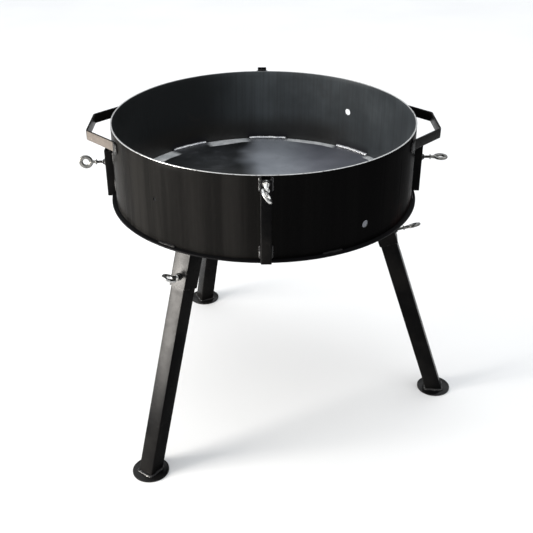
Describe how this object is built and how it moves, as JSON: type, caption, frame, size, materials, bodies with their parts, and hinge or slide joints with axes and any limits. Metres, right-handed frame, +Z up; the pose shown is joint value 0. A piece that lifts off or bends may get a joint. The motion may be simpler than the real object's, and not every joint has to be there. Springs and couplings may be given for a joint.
{
  "type": "three-legged coal hearth",
  "caption": "Round open coal hearth: a shallow steel drum with carrying handles and wall sockets, standing on splayed legs that slide out, all clamped by eye screws.",
  "frame": {"origin": "on the ground, directly under the drum's vertical axis", "axes": "+Z up along the drum's axis, -Y to the front socket, +X to the right-hand handle and side socket"},
  "size_m": [0.8217, 0.8014, 0.6607],
  "materials": {
    "black_paint": "satin black paint, worn thin on edges",
    "plate_skin": "thin blue-grey black skin on the floor plate, a little dusty",
    "zinc": "bright zinc plating",
    "bare_weld": "bare weld metal"
  },
  "bodies": {
    "drum": {"floor_plate": "plate_skin", "drum_shell": "black_paint", "seam_weld": "black_paint", "floor_welds_inside": "bare_weld", "floor_welds_outside": "black_paint", "socket_front": "black_paint", "socket_right": "black_paint", "socket_back": "black_paint", "socket_left": "black_paint", "socket_welds": "black_paint", "socket_nuts": "zinc", "leg_nuts": "black_paint", "nut_welds": "black_paint", "handle_left": "black_paint", "handle_right": "black_paint", "handle_welds": "black_paint", "leg_socket_front_left": "black_paint", "leg_socket_right": "black_paint", "leg_socket_rear": "black_paint", "leg_socket_welds": "black_paint"},
    "leg_front_left": {"leg_tube_front_left": "black_paint", "foot_plate_front_left": "black_paint", "foot_weld_front_left": "black_paint"},
    "leg_right": {"leg_tube_right": "black_paint", "foot_plate_right": "black_paint", "foot_weld_right": "black_paint"},
    "leg_rear": {"leg_tube_rear": "black_paint", "foot_plate_rear": "black_paint", "foot_weld_rear": "black_paint"},
    "screw_front": {"eye_screw_front": "zinc"},
    "screw_right": {"eye_screw_right": "zinc"},
    "screw_back": {"eye_screw_back": "zinc"},
    "screw_left": {"eye_screw_left": "zinc"},
    "screw_leg_front_left": {"eye_screw_leg_front_left": "zinc"},
    "screw_leg_right": {"eye_screw_leg_right": "zinc"},
    "screw_leg_rear": {"eye_screw_leg_rear": "zinc"}
  },
  "joints": [
    {"name": "leg_front_left_slide", "type": "slide", "parent": "drum", "child": "leg_front_left", "axis": [-0.1941, -0.2614, -0.9455], "range_m": [0, 0.12]},
    {"name": "leg_right_slide", "type": "slide", "parent": "drum", "child": "leg_right", "axis": [0.3234, -0.0374, -0.9455], "range_m": [0, 0.12]},
    {"name": "leg_rear_slide", "type": "slide", "parent": "drum", "child": "leg_rear", "axis": [-0.1293, 0.2988, -0.9455], "range_m": [0, 0.12]},
    {"name": "screw_front_turn", "type": "hinge", "parent": "drum", "child": "screw_front", "pos_m": [0, -0.33, 0.648], "axis": [0, -1, 0], "continuous": true},
    {"name": "screw_right_turn", "type": "hinge", "parent": "drum", "child": "screw_right", "pos_m": [0.33, 0, 0.5625], "axis": [1, 0, 0], "continuous": true},
    {"name": "screw_back_turn", "type": "hinge", "parent": "drum", "child": "screw_back", "pos_m": [0, 0.33, 0.63], "axis": [0, 1, 0], "continuous": true},
    {"name": "screw_left_turn", "type": "hinge", "parent": "drum", "child": "screw_left", "pos_m": [-0.33, 0, 0.5555], "axis": [-1, 0, 0], "continuous": true},
    {"name": "screw_leg_front_left_turn", "type": "hinge", "parent": "drum", "child": "screw_leg_front_left", "pos_m": [-0.16863, -0.22706, 0.40751], "axis": [-0.5637, -0.7591, 0.3256], "continuous": true},
    {"name": "screw_leg_right_turn", "type": "hinge", "parent": "drum", "child": "screw_leg_right", "pos_m": [0.28096, -0.03251, 0.40751], "axis": [0.9393, -0.1087, 0.3256], "continuous": true},
    {"name": "screw_leg_rear_turn", "type": "hinge", "parent": "drum", "child": "screw_leg_rear", "pos_m": [-0.11233, 0.25957, 0.40751], "axis": [-0.3755, 0.8678, 0.3256], "continuous": true}
  ]
}
